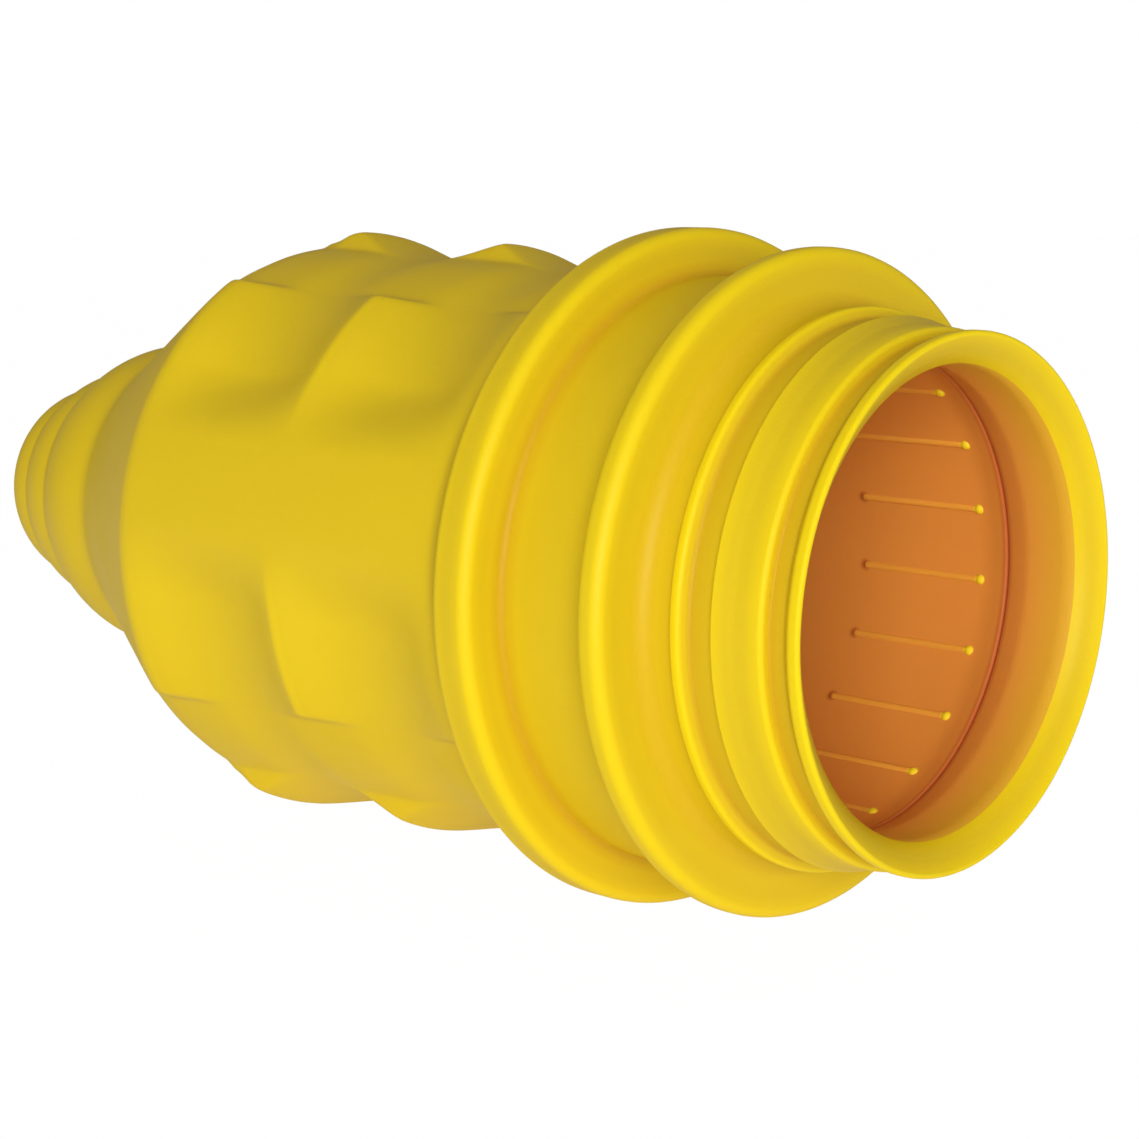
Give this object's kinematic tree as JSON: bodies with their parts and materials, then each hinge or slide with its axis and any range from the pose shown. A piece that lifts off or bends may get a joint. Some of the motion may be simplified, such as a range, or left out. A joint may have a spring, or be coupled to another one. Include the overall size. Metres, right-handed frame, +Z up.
{
  "type": "shore_power_cord_boot",
  "caption": "Yellow soft PVC weatherproof boot for a shore power cord connector: open mouth, flanged seat for a locking ring, scooped grip, cone shoulder, stepped trim neck",
  "frame": {"origin": "On the boot's axis, in the middle of the mouth's straight bore", "axes": "+X runs along the axis and out of the mouth, -X towards the cord, +Z is up as pictured, +Y is away from the camera's side"},
  "size_m": [0.1528, 0.0752, 0.0752],
  "materials": {
    "yellow_pvc": "satin"
  },
  "bodies": {
    "root": {"mouth_lip": "yellow_pvc", "nose_band": "yellow_pvc", "nose_ridge": "yellow_pvc", "nose_root": "yellow_pvc", "front_flange": "yellow_pvc", "ring_seat": "yellow_pvc", "rear_flange": "yellow_pvc", "grip_front": "yellow_pvc", "grip_rear": "yellow_pvc", "shoulder_cone": "yellow_pvc", "neck_ring_large": "yellow_pvc", "neck_ring_middle": "yellow_pvc", "neck_ring_small": "yellow_pvc", "inner_ribs": "yellow_pvc"}
  },
  "joints": []
}
